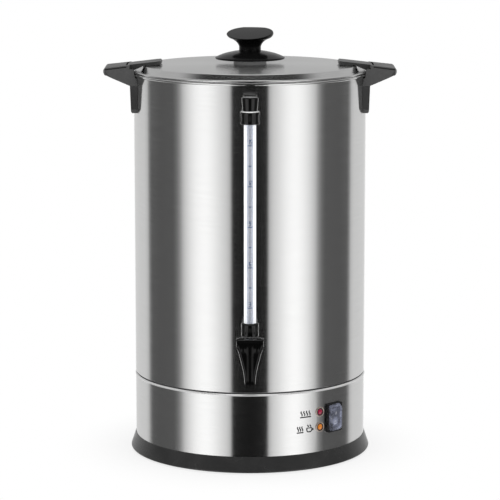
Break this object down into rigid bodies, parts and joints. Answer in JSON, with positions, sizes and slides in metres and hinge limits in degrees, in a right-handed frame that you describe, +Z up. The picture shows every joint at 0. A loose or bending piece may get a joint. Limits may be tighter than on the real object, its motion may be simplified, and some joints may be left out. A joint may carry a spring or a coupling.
{
  "type": "hot water urn",
  "caption": "Steel hot water urn with lift-off lid, two latching side handles, sight gauge standing on a lever tap, and a heated base with switch and lamps.",
  "frame": {"origin": "on the tank's axis, at the level of the surface that the feet stand on", "axes": "+Z up along the tank; the tap points along -Y; the cable inlet faces +Y; +X is to the right seen from the tap"},
  "size_m": [0.351, 0.3509, 0.5135],
  "materials": {
    "brushed_steel": "horizontally brushed stainless steel",
    "lid_steel": "fine brushed stainless steel",
    "plain_steel": "mill finish",
    "screw_steel": "bright turned steel",
    "base_plastic": "fine moulded texture, dark grey",
    "handle_plastic": "moulded, dark grey, satin",
    "knob_plastic": "moulded, black, semi gloss",
    "spacer_plastic": "moulded, dark grey",
    "tap_plastic": "moulded, black, gloss",
    "fitting_plastic": "moulded, black, gloss",
    "gauge_glass": "clear, faintly blue",
    "gauge_guard": "clear to milky",
    "scale_strip": "white with blue marks",
    "rubber": "soft matt",
    "lamp_bezel": "light moulded bezel",
    "red_lens": "translucent red",
    "amber_lens": "translucent amber",
    "switch_black": "moulded, black",
    "clear_cover": "clear soft plastic, faintly blue",
    "aluminium": "pressed sheet",
    "element_sheath": "heat-tinted sheath",
    "phenolic": "brown phenolic",
    "terminal_plastic": "off-white polyamide",
    "gland_plastic": "black polyamide",
    "reset_red": "red"
  },
  "bodies": {
    "root": {"tank_wall": "brushed_steel", "tank_floor": "plain_steel", "skirt": "brushed_steel", "base_ring": "base_plastic", "base_plate": "plain_steel", "rubber_feet": "rubber", "floor_posts": "plain_steel", "base_screws": "screw_steel", "gauge_glass": "gauge_glass", "gauge_guard": "gauge_guard", "gauge_scale": "scale_strip", "gauge_seals": "rubber", "gauge_top_nut": "fitting_plastic", "gauge_bottom_nut": "fitting_plastic", "gauge_top_fitting": "fitting_plastic", "gauge_wall_seal": "rubber", "gauge_lock_nut": "fitting_plastic", "tap_body": "tap_plastic", "tap_bonnet": "tap_plastic", "lever_pin": "screw_steel", "valve_spring": "screw_steel", "tap_wall_seal": "rubber", "tap_lock_nut": "tap_plastic", "switch_frame": "switch_black", "switch_cover": "clear_cover", "spreader_plate": "aluminium", "heating_element": "element_sheath", "boil_thermostat": "phenolic", "keep_warm_thermostat": "phenolic", "thermal_cutout": "phenolic", "cutout_sensor": "element_sheath", "terminal_block": "terminal_plastic", "earth_stud": "screw_steel", "cable_gland": "gland_plastic", "gland_nut": "gland_plastic", "red_lamp_body": "lamp_bezel", "red_lamp_lens": "red_lens", "amber_lamp_body": "lamp_bezel", "amber_lamp_lens": "amber_lens", "handle_right": "handle_plastic", "handle_left": "handle_plastic", "latch_pin_right": "screw_steel", "latch_pin_left": "screw_steel", "handle_backing_right": "plain_steel", "handle_backing_left": "plain_steel", "handle_screws_right": "screw_steel", "handle_screws_left": "screw_steel"},
    "lid": {"lid": "lid_steel", "knob_spacer": "spacer_plastic", "knob_guard": "knob_plastic", "knob": "knob_plastic", "knob_screw": "screw_steel"},
    "latch_right": {"lid_latch_right": "handle_plastic"},
    "latch_left": {"lid_latch_left": "handle_plastic"},
    "tap_lever": {"tap_lever": "tap_plastic"},
    "valve": {"valve_stem": "screw_steel", "valve_cup": "rubber"},
    "rocker": {"switch_rocker": "switch_black"},
    "reset": {"reset_button": "reset_red"}
  },
  "joints": [
    {"name": "lid_turn", "type": "hinge", "parent": "root", "child": "lid", "pos_m": [0, 0, 0.462], "axis": [0, 0, 1], "continuous": true},
    {"name": "latch_right_flip", "type": "hinge", "parent": "root", "child": "latch_right", "pos_m": [0.1448, 0, 0.4683], "axis": [0, 1, 0], "range_deg": [0, 95]},
    {"name": "latch_left_flip", "type": "hinge", "parent": "root", "child": "latch_left", "pos_m": [-0.1448, 0, 0.4683], "axis": [0, -1, 0], "range_deg": [0, 95]},
    {"name": "tap_lever_pull", "type": "hinge", "parent": "root", "child": "tap_lever", "pos_m": [0, -0.182, 0.163], "axis": [-1, 0, 0], "range_deg": [0, 22], "stiffness_Nm_per_rad": 0.17, "springref_deg": -20.05},
    {"name": "valve_slide", "type": "slide", "parent": "root", "child": "valve", "axis": [0, -1, 0], "range_m": [0, 0.0054], "deforming": ["valve_spring"]},
    {"name": "switch_rock", "type": "hinge", "parent": "root", "child": "rocker", "pos_m": [0.09872, -0.09786, 0.0588], "axis": [-0.704, -0.7102, 0], "range_deg": [0, 14]},
    {"name": "reset_push", "type": "slide", "parent": "root", "child": "reset", "axis": [0, 0, 1], "range_m": [0, 0.002], "stiffness_N_per_m": 300, "springref_m": -0.002}
  ],
  "couplings": [
    {"joint": "valve_slide", "follows": "tap_lever_pull", "m_per_rad": 0.01405}
  ]
}
